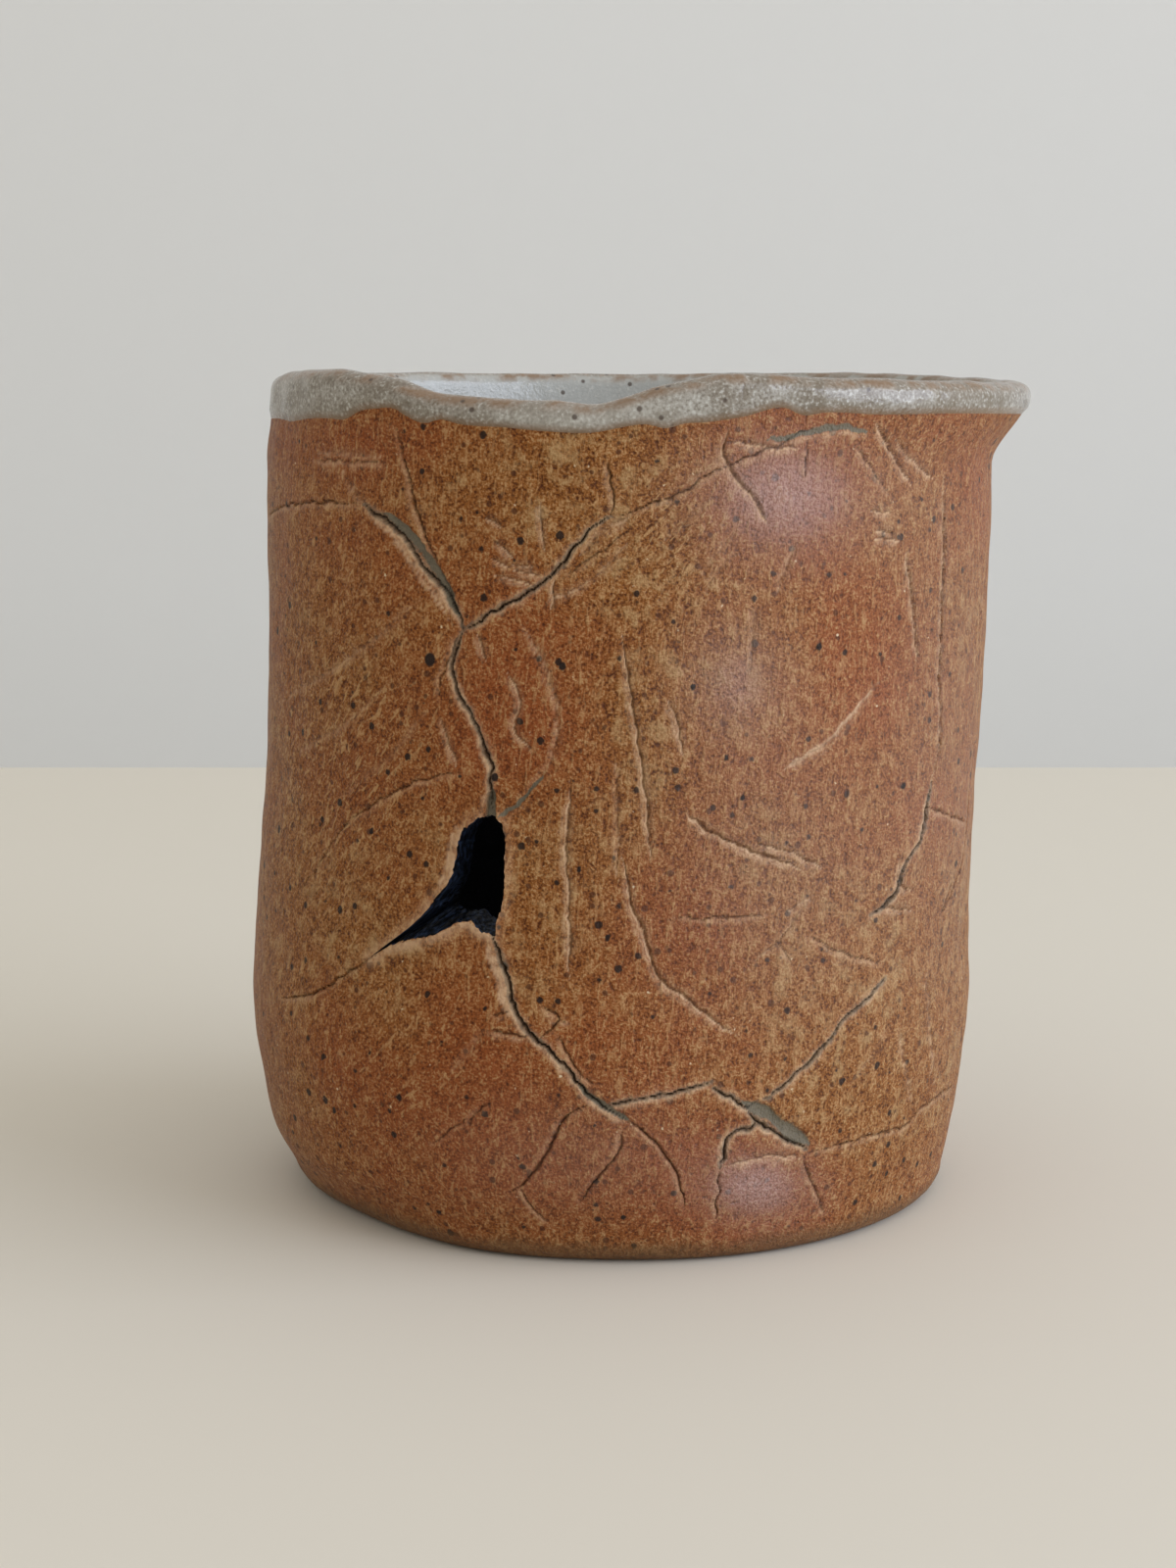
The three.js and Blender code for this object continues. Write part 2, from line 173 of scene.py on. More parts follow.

# Marks on the wall: kind, width and depth in millimetres, and points in the photograph's pixels. A chip is
# a broken edge that stands up beside a crack, painted pale: partly broken clay, partly painted highlight.
MARKS = {
    "shoulder_left": ("hairline", 0.45, 0.35, [(272, 529), (286, 517), (330, 512), (371, 515)]),
    "shoulder": ("crack", 0.45, 0.7, [
        (371, 515), (397, 534), (414, 550), (431, 576), (450, 598), (464, 618), (472, 643)]),
    "shoulder_pool": ("pool", 1.35, 0.45, [
        (392, 525), (410, 538), (427, 556), (443, 580), (456, 603), (467, 628)]),
    "shoulder_cleft": ("hairline", 0.45, 0.5, [
        (404, 437), (414, 475), (425, 520), (436, 553), (453, 592), (471, 635)]),
    "shoulder_feeder": ("scratch", 0.5, 0.15, [(348, 480), (361, 503), (372, 515)]),
    "lip_score": ("hairline", 0.35, 0.15, [(319, 469), (352, 471), (393, 471)]),
    "lip_score_twin": ("scratch", 0.35, 0.1, [(322, 462), (356, 463), (390, 468)]),
    "collar": ("crack", 0.3, 0.6, [
        (472, 644), (509, 621), (543, 601), (571, 578), (588, 556), (608, 536), (624, 526)]),
    "collar_end": ("hairline", 0.4, 0.4, [
        (624, 526), (643, 522), (673, 511), (701, 499), (722, 485), (744, 475), (777, 462), (796, 453),
        (814, 443), (842, 433)]),
    "collar_spur": ("hairline", 0.5, 0.4, [(623, 525), (626, 511), (623, 491), (620, 469)]),
    "collar_twin": ("crease", 0.5, 0.15, [(560, 612), (590, 600), (622, 575), (640, 556)]),
    "lip_fold": ("crease", 0.8, 0.3, [(744, 438), (738, 456), (744, 478), (767, 508), (784, 536)]),
    "lip_smear": ("pool", 0.8, 0.1, [(784, 449), (814, 444), (860, 435), (885, 441)]),
    "neck_arc": ("hairline", 0.5, 0.4, [(467, 648), (456, 679), (448, 696), (449, 713)]),
    "neck": ("crack", 0.34, 0.7, [
        (472, 644), (463, 668), (462, 688), (470, 710), (484, 735), (494, 761), (502, 786), (500, 808),
        (501, 830)]),
    "neck_wedge": ("pool", 1.4, 0.9, [(501, 806), (501, 818), (500, 838), (500, 850)]),
    "neck_short": ("crease", 0.5, 0.2, [(449, 733), (459, 763), (467, 780)]),
    "neck_branch": ("hairline", 0.45, 0.35, [
        (470, 786), (442, 793), (411, 803), (380, 822), (349, 845), (327, 878), (307, 908)]),
    "neck_spur": ("pool", 0.7, 0.2, [(509, 834), (529, 820), (554, 791)]),
    "tear_tail": ("hairline", 0.5, 0.45, [(384, 974), (363, 986), (347, 997), (324, 1013), (288, 1019)]),
    "keel": ("crack", 0.34, 0.8, [
        (504, 950), (511, 974), (516, 996), (523, 1021), (529, 1038), (537, 1052), (551, 1063), (577, 1089),
        (596, 1111), (613, 1128), (638, 1142)]),
    "keel_side": ("hairline", 0.5, 0.4, [(500, 1052), (521, 1054), (535, 1058)]),
    "keel_twig": ("hairline", 0.4, 0.3, [(504, 1037), (521, 1031)]),
    "keel_loop": ("hairline", 0.5, 0.4, [(551, 1058), (565, 1049), (570, 1040), (554, 1026)]),
    "keel_loop_end": ("hairline", 0.4, 0.3, [(570, 1040), (581, 1041)]),
    "keel_twin": ("hairline", 0.45, 0.35, [(571, 1058), (581, 1077), (591, 1094), (610, 1108)]),
    "keel_pool": ("pool", 0.9, 0.3, [(590, 1108), (612, 1126), (642, 1143)]),
    "sill": ("crack", 0.28, 0.5, [(616, 1129), (647, 1122), (680, 1117), (701, 1111), (725, 1104)]),
    "sill_tail": ("hairline", 0.5, 0.5, [
        (638, 1142), (661, 1157), (680, 1179), (692, 1200), (695, 1215), (699, 1231)]),
    "root": ("hairline", 0.55, 0.45, [
        (599, 1128), (577, 1139), (568, 1159), (549, 1190), (529, 1212), (518, 1221)]),
    "root_toe": ("hairline", 0.45, 0.3, [(529, 1212), (543, 1232), (558, 1250)]),
    "root_second": ("hairline", 0.5, 0.35, [(636, 1152), (630, 1176), (610, 1201), (591, 1226)]),
    "low_left_a": ("hairline", 0.4, 0.25, [(500, 1124), (487, 1134), (480, 1150)]),
    "low_left_b": ("hairline", 0.4, 0.25, [(478, 1142), (459, 1153), (442, 1166)]),
    "low_left_c": ("scratch", 0.4, 0.15, [(495, 1049), (476, 1075), (459, 1094)]),
    "star": ("crack", 0.3, 0.5, [(727, 1110), (747, 1121), (762, 1131), (773, 1124)]),
    "star_pool": ("pool", 2.1, 0.4, [(758, 1126), (782, 1136), (803, 1152), (826, 1168)]),
    "star_rift": ("crack", 0.35, 0.7, [(764, 1134), (775, 1146), (800, 1160), (824, 1174)]),
    "star_up": ("crack", 0.3, 0.5, [
        (781, 1121), (799, 1108), (820, 1090), (845, 1062), (860, 1041), (882, 1020), (903, 998)]),
    "star_right": ("hairline", 0.45, 0.35, [
        (826, 1176), (863, 1166), (894, 1157), (924, 1148), (940, 1130), (973, 1105)]),
    "star_crescent": ("crack", 0.38, 0.6, [
        (771, 1142), (767, 1150), (750, 1154), (741, 1163), (738, 1179), (735, 1191)]),
    "star_foot": ("hairline", 0.4, 0.4, [(735, 1191), (733, 1215), (730, 1246)]),
    "pillow_top": ("crease", 0.5, 0.2, [(738, 1191), (771, 1182), (799, 1180), (817, 1182)]),
    "pillow_side": ("hairline", 0.5, 0.35, [(819, 1182), (826, 1200), (836, 1222), (842, 1240)]),
    "right_seam": ("crease", 0.6, 0.4, [(924, 563), (929, 600), (932, 631), (937, 677)]),
    "right_groove": ("crease", 0.7, 0.45, [
        (964, 487), (963, 554), (961, 615), (960, 698), (958, 762), (950, 799)]),
    "right_fold": ("crack", 0.5, 0.7, [
        (950, 799), (946, 824), (938, 860), (924, 882), (915, 909), (900, 926), (888, 934)]),
    "right_link": ("hairline", 0.45, 0.4, [(946, 824), (986, 839)]),
    "right_edge": ("hairline", 0.6, 0.5, [(989, 799), (986, 842), (980, 882), (972, 906), (961, 931)]),
    "right_low_a": ("scratch", 0.6, 0.25, [(946, 980), (949, 1032), (952, 1111)]),
    "right_low_b": ("scratch", 0.5, 0.2, [(918, 1050), (924, 1087), (932, 1133)]),
    "right_low_c": ("scratch", 0.5, 0.2, [(912, 1041), (894, 1072), (869, 1105)]),
    "ridge_long": ("crease", 0.5, 0.25, [(636, 648), (646, 726), (652, 766), (660, 822), (664, 878)]),
    "ridge_sweep": ("crease", 0.6, 0.3, [
        (634, 873), (646, 925), (658, 958), (672, 998), (701, 1020), (729, 1041), (750, 1056)]),
    "ridge_left": ("crease", 0.5, 0.2, [(582, 797), (578, 864), (580, 921), (581, 999)]),
    "ridge_mid": ("scratch", 0.4, 0.15, [(629, 775), (630, 814), (629, 893)]),
    "crease_a": ("crease", 0.7, 0.35, [(698, 830), (729, 851), (759, 866), (787, 876), (817, 886)]),
    "crease_a_twin": ("crease", 0.5, 0.25, [(771, 860), (808, 870), (839, 886)]),
    "crease_b": ("crease", 0.7, 0.25, [(897, 695), (863, 738), (839, 762), (802, 784)]),
    "dash_mid": ("hairline", 0.45, 0.25, [(689, 935), (735, 937), (782, 932)]),
    "dash_cross": ("crease", 0.5, 0.25, [(831, 912), (814, 934), (796, 958), (771, 980)]),
    "dash_cross_twin": ("crease", 0.4, 0.2, [(830, 915), (799, 932)]),
    "dash_tick": ("hairline", 0.4, 0.2, [(790, 958), (805, 977)]),
    "dash_low": ("hairline", 0.4, 0.2, [(826, 955), (857, 971), (900, 983)]),
    "score_a": ("scratch", 0.6, 0.25, [(814, 551), (805, 575), (793, 603)]),
    "score_b": ("scratch", 0.5, 0.2, [(750, 560), (719, 603)]),
    "score_c": ("scratch", 0.5, 0.2, [(741, 463), (720, 478), (699, 493)]),
    "score_d": ("scratch", 0.5, 0.2, [(737, 476), (710, 494), (682, 510)]),
    "score_e": ("scratch", 0.5, 0.2, [(760, 531), (738, 558), (716, 585)]),
    "score_f": ("scratch", 0.5, 0.2, [(724, 510), (700, 532), (678, 552)]),
    "lip_ray_a": ("crease", 0.6, 0.25, [(892, 430), (908, 458), (930, 495)]),
    "lip_ray_b": ("crease", 0.5, 0.2, [(913, 449), (930, 468), (953, 489)]),
    "lip_ray_c": ("hairline", 0.4, 0.2, [(875, 455), (890, 478), (909, 505)]),
    "lip_ray_d": ("hairline", 0.4, 0.2, [(825, 459), (823, 475), (821, 489)]),
    "dash_right_a": ("crease", 0.5, 0.2, [(888, 522), (909, 524)]),
    "dash_right_b": ("crease", 0.5, 0.2, [(892, 541), (913, 543)]),
    "dash_right_c": ("crease", 0.5, 0.2, [(892, 550), (917, 552)]),
    "neck_fork": ("crease", 0.5, 0.25, [(486, 647), (491, 660), (496, 674)]),
    "neck_loop": ("scratch", 0.5, 0.15, [(530, 634), (556, 679), (569, 730), (562, 774), (530, 819)]),
    "neck_drip": ("crease", 0.5, 0.2, [(518, 685), (530, 717), (524, 742), (543, 768)]),
    "brow_a": ("crease", 0.4, 0.2, [(550, 513), (553, 540), (556, 564)]),
    "brow_b": ("crease", 0.5, 0.2, [(495, 526), (504, 531), (511, 538)]),
    "brow_c": ("crease", 0.5, 0.2, [(505, 551), (514, 560), (524, 570)]),
    "brush_a": ("scratch", 0.4, 0.12, [(403, 640), (345, 680), (288, 717)]),
    "brush_b": ("scratch", 0.4, 0.12, [(430, 610), (378, 655), (330, 690)]),
    "brush_c": ("scratch", 0.4, 0.12, [(395, 700), (350, 740), (300, 770)]),
    "brush_d": ("scratch", 0.4, 0.12, [(440, 720), (400, 770), (345, 815)]),
    "fold_loop": ("crease", 0.5, 0.3, [(922, 872), (917, 888), (918, 904), (930, 909)]),
    "fold_base": ("crease", 0.5, 0.25, [(890, 928), (910, 927), (932, 928)]),
    "fold_tail": ("hairline", 0.5, 0.3, [(971, 898), (966, 914), (961, 930)]),
    # A raised strip beside crease_b, painted pale as a highlight
    "crease_b_glint": ("chip", 0.8, 0.08, [(890, 704), (863, 736), (839, 760), (806, 781)]),
    "lip_ledge": ("crease", 0.5, 0.2, [(746, 451), (775, 456), (818, 457)]),
    "mid_drop": ("scratch", 0.4, 0.15, [(770, 616), (768, 650), (764, 688)]),
    "mid_hook": ("crease", 0.4, 0.15, [(680, 712), (690, 738), (698, 772)]),
    "keel_chip": ("chip", 1.1, 0.12, [(498, 960), (505, 985), (511, 1010), (520, 1035)]),
    "neck_chip": ("chip", 0.7, 0.1, [(465, 690), (478, 722), (489, 754), (496, 786)]),
    "shoulder_chip": ("chip", 0.75, 0.1, [(384, 530), (404, 552), (424, 582), (442, 607), (458, 630)]),
    "tear_chip": ("chip", 0.9, 0.12, [(463, 846), (458, 872), (453, 896), (440, 914)]),
    "fan_a": ("crease", 0.4, 0.15, [(500, 569), (512, 574), (524, 580)]),
    "fan_b": ("crease", 0.35, 0.15, [(522, 575), (534, 577), (546, 580)]),
    "fan_c": ("crease", 0.35, 0.15, [(523, 582), (538, 585), (554, 587)]),
    "fan_d": ("crease", 0.45, 0.15, [(506, 587), (522, 591), (536, 595), (546, 599)]),
    "collar_fold": ("crease", 0.9, 0.2, [(594, 566), (606, 550), (622, 536), (640, 528)]),
    "collar_fold_low": ("hairline", 0.4, 0.2, [(580, 585), (604, 570), (628, 551), (645, 538)]),
    "collar_drop": ("crease", 0.45, 0.2, [(565, 592), (565, 606), (562, 622)]),
}

# Iron spots in the clay, in the photograph's pixels, with their widths in millimetres
SPOTS = [
    (439, 673, 1.5), (574, 680, 0.9), (379, 848, 0.8), (327, 716, 0.8), (309, 747, 0.8), (505, 793, 0.9),
    (331, 919, 0.6), (591, 887, 0.6), (620, 957, 0.7), (407, 1120, 0.9), (342, 1133, 0.8), (495, 1029, 0.6),
    (448, 1237, 0.7), (636, 1242, 0.7), (707, 701, 0.7), (836, 660, 0.9), (921, 802, 0.9), (741, 773, 0.6),
    (758, 814, 0.7),
]

# Broad flashes of the firing, in the photograph's pixels: place, width and height, and how far the tone
# goes to red (above zero) or to gold (below zero)
FLASHES = [
    (380, 455, 150, 50, 0.9), (830, 500, 140, 110, 0.9), (520, 700, 90, 190, 0.8),
    (880, 650, 120, 150, 0.5), (500, 1150, 240, 180, 0.8), (700, 960, 120, 110, 0.6),
    (780, 1210, 120, 90, 1.0), (990, 480, 60, 120, 0.8), (600, 480, 200, 110, -0.8),
    (660, 720, 150, 260, -0.5), (850, 1000, 200, 160, -0.55), (880, 1150, 160, 110, -0.5),
    (910, 540, 90, 120, -0.6), (400, 930, 180, 160, -0.3),
]

# Smooth places where the fired skin is glassy and carries a painted sheen and highlight for the window's
# reflection, and places that were brushed at a slant, as for the flashes
GLOSS_AND_SHEEN_PATCHES = [
    (800, 505, 150, 110, 0.9), (772, 1212, 90, 60, 0.9), (750, 690, 90, 100, 0.55),
    (800, 880, 200, 260, 0.45), (960, 700, 90, 420, 0.35), (600, 1180, 200, 90, 0.35),
]
SLANTED = [(340, 760, 170, 400, 1.0), (690, 545, 110, 100, 1.0), (420, 1120, 160, 130, 0.6)]


def through(stations, at):
    """Value at each place on the smooth curve through (place, value) stations."""
    place, value = np.array(stations, dtype=float).T
    secant = np.diff(value) / np.diff(place)
    slope = np.concatenate([secant[:1], (secant[1:] + secant[:-1]) / 2, secant[-1:]])
    first = np.clip(np.searchsorted(place, at) - 1, 0, len(secant) - 1)
    span = place[first + 1] - place[first]
    t = (at - place[first]) / span
    ease = t * t * (3 - 2 * t)
    bend = span * t * (1 - t) * ((1 - t) * slope[first] - t * slope[first + 1])
    return value[first] + (value[first + 1] - value[first]) * ease + bend


def around(stations, turn):
    """The same, closed round a full turn; stations are in degrees and turn in radians."""
    degrees, value = np.array(stations, dtype=float).T
    closed = [(d + lap, v) for lap in (-360, 0, 360) for d, v in zip(degrees, value)]
    start = degrees[0]
    return through(closed, start + np.mod(np.degrees(turn) - start, 360))


def ramp(low, high, at):
    """Smooth step from 0 at low to 1 at high."""
    t = np.clip((at - low) / (high - low), 0, 1)
    return t * t * (3 - 2 * t)


def outside_radius(height):
    return through(OUTSIDE, height)


def wall_at(height):
    return WALL + (LIP_WALL - WALL) * ramp(HEIGHT - THIN_ZONE, HEIGHT, height)


def formed(radius, height, turn):
    """Moves points of the true round cup to where the hand-formed cup has them."""
    lip_base = HEIGHT - LIP_WALL / 2
    lift = around(LIP_WAVE, turn) * ramp(HEIGHT - LIP_ZONE, HEIGHT, height)
    flare = around(LIP_FLARE, turn) * ramp(lip_base - FLARE_ZONE, lip_base, height)
    tuck = around(FOOT_TUCK, turn) * (1 - ramp(0, TUCK_ZONE, height)) * ramp(0, FOOT_RADIUS, radius)
    lumpy = ramp(FOOT_ROUND, BELLY_HEIGHT, height) * ramp(0, INSIDE_RADIUS, radius)
    rise = height / HEIGHT
    waves = (3 * turn + 4 * rise, 5 * turn - 9 * rise + 1, 2 * turn + 13 * rise)
    lump = sum(np.sin(wave) for wave in waves)
    reach = radius + flare - tuck + LUMP * lumpy * lump
    x = reach * np.sin(turn) + through(LEAN, height)
    return np.stack([x, -reach * np.cos(turn), height + lift], axis=-1)


def to_photo(points):
    """Pixels of the photograph where points of the cup are seen."""
    away = points - EYE
    ahead = away[:, 1] * math.cos(PITCH) - away[:, 2] * math.sin(PITCH)
    up = away[:, 1] * math.sin(PITCH) + away[:, 2] * math.cos(PITCH)
    return np.stack([
        PHOTO_WIDTH / 2 + PHOTO_FOCAL * away[:, 0] / ahead,
        PHOTO_HEIGHT / 2 - PHOTO_FOCAL * up / ahead], axis=-1)


def on_wall(pixels):
    """Turn (radians) and height on the round cup's outside of things seen at pixels of the photograph."""
    pixels = np.array(pixels, dtype=float)[:, :2]
    turn = np.arcsin(np.clip((pixels[:, 0] - CUP_MIDDLE) / CUP_HALF_WIDTH, -0.99, 0.99))
    height = np.clip(HEIGHT - (pixels[:, 1] - LIP_ROW) / PIXELS_PER_MM, 1, 97)

    def seen(a, h):
        return to_photo(formed(outside_radius(h), h, a))

    step = 1e-4
    for _ in range(12):
        here = seen(turn, height)
        by_turn = (seen(turn + step, height) - here) / step
        by_height = (seen(turn, height + step) - here) / step
        miss = pixels - here
        area = by_turn[:, 0] * by_height[:, 1] - by_turn[:, 1] * by_height[:, 0]
        area = np.where(np.abs(area) < 1, 1, area)
        d_turn = (miss[:, 0] * by_height[:, 1] - miss[:, 1] * by_height[:, 0]) / area
        d_height = (by_turn[:, 0] * miss[:, 1] - by_turn[:, 1] * miss[:, 0]) / area
        turn = np.clip(turn + np.clip(d_turn, -0.1, 0.1), -1.5, 1.5)
        height = np.clip(height + np.clip(d_height, -4, 4), 1, 97.5)
    return turn, height


def unrolled(pixels):
    """The same, flattened out: millimetres round the wall from the front, and height."""
    turn, height = on_wall(pixels)
    return np.stack([UNROLL * turn, height], axis=-1)


def run_along(path):
    """Length of a drawn line up to each of its points."""
    return np.concatenate([[0], np.cumsum(np.hypot(*np.diff(path, axis=0).T))])


def rounded(path, spacing=0.6):
    """A drawn line as close-set points on a smooth curve."""
    run = run_along(path)
    at = np.linspace(0, run[-1], max(2, int(run[-1] / spacing)))
    return np.stack([through(list(zip(run, side)), at) for side in path.T], axis=-1)


def reach_of(path, flat, limit):
    """How flattened wall points lie to a line: distance, share of the way along it, and how far each one
    lies on the line's lower left, from -1 to 1. Points further than limit keep that distance.
    """
    distance = np.full(len(flat), limit, dtype=float)
    along = np.zeros(len(flat))
    below = np.zeros(len(flat))
    low, high = path.min(axis=0) - limit, path.max(axis=0) + limit
    near = np.nonzero(np.all((flat > low) & (flat < high), axis=1))[0]
    points = flat[near]
    for i in range(len(path) - 1):
        start, run = path[i], path[i + 1] - path[i]
        t = np.clip(((points - start) @ run) / (run @ run), 0, 1)
        off = points - start - t[:, None] * run
        d = np.hypot(*off.T)
        closer = d < distance[near]
        found = near[closer]
        distance[found] = d[closer]
        along[found] = (i + t[closer]) / (len(path) - 1)
        below[found] = -(off[closer] @ LIGHT_UP_RIGHT) / np.maximum(d[closer], 0.01)
    return distance, along, below


def work_on(piece, mode):
    bpy.context.view_layer.objects.active = piece
    bpy.ops.object.mode_set(mode=mode)


def grab_faces(piece, chosen):
    """Selects the chosen faces, and nothing else, in edit mode."""
    work_on(piece, "EDIT")
    bpy.ops.mesh.select_mode(type="FACE")
    bpy.ops.mesh.select_all(action="DESELECT")
    work_on(piece, "OBJECT")
    piece.data.polygons.foreach_set("select", chosen)
    work_on(piece, "EDIT")


def places_of(parts, what):
    """Places of a mesh's vertices ("co") or faces ("center")."""
    flat = np.empty(len(parts) * 3)
    parts.foreach_get(what, flat)
    return flat.reshape(-1, 3) / MM


def move_vertices(mesh, places):
    mesh.vertices.foreach_set("co", (places * MM).ravel())
    mesh.update()


def turn_of(places):
    """Radians round the cup from its front."""
    return np.arctan2(places[:, 0], -places[:, 1])


def radius_of(places):
    return np.hypot(places[:, 0], places[:, 1])


def at_turn(radius, turn, height):
    return np.stack([radius * np.sin(turn), -radius * np.cos(turn), height], axis=-1)


def face_outwards(piece):
    work_on(piece, "EDIT")
    bpy.ops.mesh.select_all(action="SELECT")
    bpy.ops.mesh.normals_make_consistent(inside=False)
    work_on(piece, "OBJECT")


def take_up(piece):
    """Selects a piece alone and makes it the active one."""
    bpy.ops.object.select_all(action="DESELECT")
    piece.select_set(True)
    bpy.context.view_layer.objects.active = piece


def cup_section():
    """Radius and height of each ring of the round cup, from the foot over the lip to the floor inside."""
    def arc(radius, height, size, start, end, steps):
        turns = np.radians(np.linspace(start, end, steps + 1)[1:])
        return [(radius + size * math.cos(t), height + size * math.sin(t)) for t in turns]

    lip = LIP_WALL / 2
    lip_base = HEIGHT - lip
    corner = FLOOR + INSIDE_ROUND
    rings = [(FOOT_RING, 0), (FOOT_RADIUS, 0)]
    rings += arc(FOOT_RADIUS, FOOT_ROUND, FOOT_ROUND, -90, 0, 5)
    rows = int((EDGE_ROW - FOOT_ROUND) / WALL_ROW)
    rings += [(float(outside_radius(h)), h) for h in np.linspace(FOOT_ROUND, EDGE_ROW, rows + 1)[1:]]
    rings += [(float(outside_radius(h)), h) for h in np.linspace(EDGE_ROW, lip_base, 4)[1:]]
    rings += arc(float(outside_radius(lip_base)) - lip, lip_base, lip, 0, 180, 12)
    below_dip = DIP_ROW - DIP_SLIDE
    for top, bottom, steps in ((lip_base, DIP_ROW, 8), (DIP_ROW, below_dip, 4), (below_dip, corner, 13)):
        heights = np.linspace(top, bottom, steps + 1)[1:]
        rings += [(float(outside_radius(h) - wall_at(h)), h) for h in heights]
    rings += arc(float(outside_radius(corner)) - WALL - INSIDE_ROUND, corner, INSIDE_ROUND, 0, -90, 6)
    rings += [(CENTRE_RING, FLOOR)]
    return rings


def throw_cup():
    """Draws the round cup up from its foot, ring by ring."""
    bpy.ops.object.select_all(action="DESELECT")
    bpy.ops.mesh.primitive_circle_add(vertices=COLUMNS, radius=CENTRE_RING * MM, fill_type="NGON")
    cup = bpy.context.object
    cup.name = "mug_visual"
    work_on(cup, "EDIT")
    bpy.ops.mesh.select_mode(type="EDGE")
    bpy.ops.mesh.select_all(action="SELECT")
    bpy.ops.mesh.flip_normals()
    bpy.ops.mesh.region_to_loop()
    last_radius, last_height = CENTRE_RING, 0
    for radius, height in cup_section():
        lift = (0, 0, (height - last_height) * MM)
        bpy.ops.mesh.extrude_edges_move(TRANSFORM_OT_translate={"value": lift})
        grow = radius / last_radius
        bpy.ops.transform.resize(value=(grow, grow, 1), center_override=(0, 0, height * MM))
        last_radius, last_height = radius, height
    bpy.ops.mesh.edge_face_add()
    face_outwards(cup)
    places = places_of(cup.data.vertices, "co")
    turn = turn_of(places)
    turn = turn - CROWDING * np.sin(turn)
    radius = radius_of(places)
    height = places[:, 2]
    edge = glaze_edge(turn)
    outside = radius > outside_radius(height) - LIP_WALL / 2
    lip_base = HEIGHT - LIP_WALL / 2
    slide = ramp(EDGE_ROW - EDGE_SLIDE, EDGE_ROW, height) * (1 - ramp(EDGE_ROW, lip_base, height))
    height = height + outside * slide * (edge - EDGE_ROW)
    radius = np.where(outside & (slide > 0), outside_radius(height), radius)
    slide = ramp(DIP_ROW - DIP_SLIDE, DIP_ROW, height) * (1 - ramp(DIP_ROW, DIP_ROW + DIP_SLIDE, height))
    height = height + ~outside * slide * (around(DIP_INSIDE, turn) - DIP_ROW)
    move_vertices(cup.data, at_turn(radius, turn, height))
    return cup


def glaze_edge(turn):
    """Height of the lower edge of the lip's glaze on the outside."""
    return around(EDGE_STATIONS, turn)


def edge_stations():
    turn, height = on_wall(GLAZE_EDGE)
    return sorted(zip(np.degrees(turn), height)) + GLAZE_EDGE_BEHIND


EDGE_STATIONS = edge_stations()
PATHS = {name: rounded(unrolled(points)) for name, (_, _, _, points) in MARKS.items()}
TEAR_PATH = unrolled(TEAR)
TEAR_RING = np.vstack([TEAR_PATH, TEAR_PATH[:1]])
TEAR_HEART = unrolled([TEAR_MIDDLE])[0]


def flattened(places):
    return np.stack([UNROLL * turn_of(places), places[:, 2]], axis=-1)


def depth_in_wall(places):
    return outside_radius(places[:, 2]) - radius_of(places)


def refine(cup, kinds, margin):
    """Splits the faces of the outside along the marks of some kinds."""
    places = places_of(cup.data.polygons, "center")
    flat = flattened(places)
    outside = depth_in_wall(places) < WALL / 2
    chosen = np.zeros(len(flat), dtype=bool)
    for name, (kind, width, _, _) in MARKS.items():
        if kind in kinds:
            limit = width / 2 + margin
            chosen |= reach_of(PATHS[name], flat, limit)[0] < limit
    if "tear" in kinds:
        chosen |= reach_of(TEAR_RING, flat, margin)[0] < margin
    if "spot" in kinds:
        for (u, v), (_, _, width) in zip(unrolled(SPOTS), SPOTS):
            chosen |= np.hypot(flat[:, 0] - u, flat[:, 1] - v) < width / 2 + margin
    grab_faces(cup, chosen & outside)
    bpy.ops.mesh.subdivide(number_cuts=1)
    work_on(cup, "OBJECT")


def cut_tear(cup):
    """Cuts the tear through the wall with a block of the tear's own ragged shape."""
    outline = rounded(TEAR_RING, TEAR_SPACING)[:-1]
    run = run_along(TEAR_RING)
    at = np.linspace(0, run[-1], len(outline) + 1)[:-1]
    shares = np.interp(at, run, [p[2] for p in TEAR] + [TEAR[0][2]])
    bpy.ops.object.select_all(action="DESELECT")
    bpy.ops.mesh.primitive_circle_add(vertices=len(outline), radius=MM, fill_type="NGON")
    cutter = bpy.context.object
    work_on(cutter, "EDIT")
    bpy.ops.mesh.select_all(action="SELECT")
    for _ in range(TEAR_STEPS):
        bpy.ops.mesh.extrude_region_move(TRANSFORM_OT_translate={"value": (0, 0, MM)})
    face_outwards(cutter)
    layer = np.rint(places_of(cutter.data.vertices, "co")[:, 2]).astype(int)
    places = np.empty((len(cutter.data.vertices), 3))
    for i in range(TEAR_STEPS + 1):
        depth = -1 + (WALL + 2) * i / TEAR_STEPS
        inward = np.clip(depth / WALL, 0, 1) * shares
        flat = outline + (TEAR_HEART - outline) * inward[:, None]
        rough = np.array([noise.noise(Vector((u * 0.9, v * 0.9, depth * 0.5))) for u, v in outline])
        fine = np.array([noise.noise(Vector((u * 2.6, v * 2.6, depth * 1.1))) for u, v in outline])
        flat = flat + (outline - TEAR_HEART) / TEAR_SIZE * (rough * 0.55 + fine * 0.7)[:, None]
        turn = flat[:, 0] / UNROLL
        radius = outside_radius(flat[:, 1]) - depth
        places[layer == i] = at_turn(radius, turn, flat[:, 1])
    move_vertices(cutter.data, places)
    face_outwards(cutter)
    for finish in cup.data.materials:
        cutter.data.materials.append(finish)
    cutter.data.polygons.foreach_set("material_index", [TORN] * len(cutter.data.polygons))
    take_up(cup)
    cut = cup.modifiers.new("tear", "BOOLEAN")
    cut.object = cutter
    cut.operation = "DIFFERENCE"
    cut.solver = "MANIFOLD"
    bpy.ops.object.modifier_apply(modifier=cut.name)
    bpy.data.objects.remove(cutter, do_unlink=True)


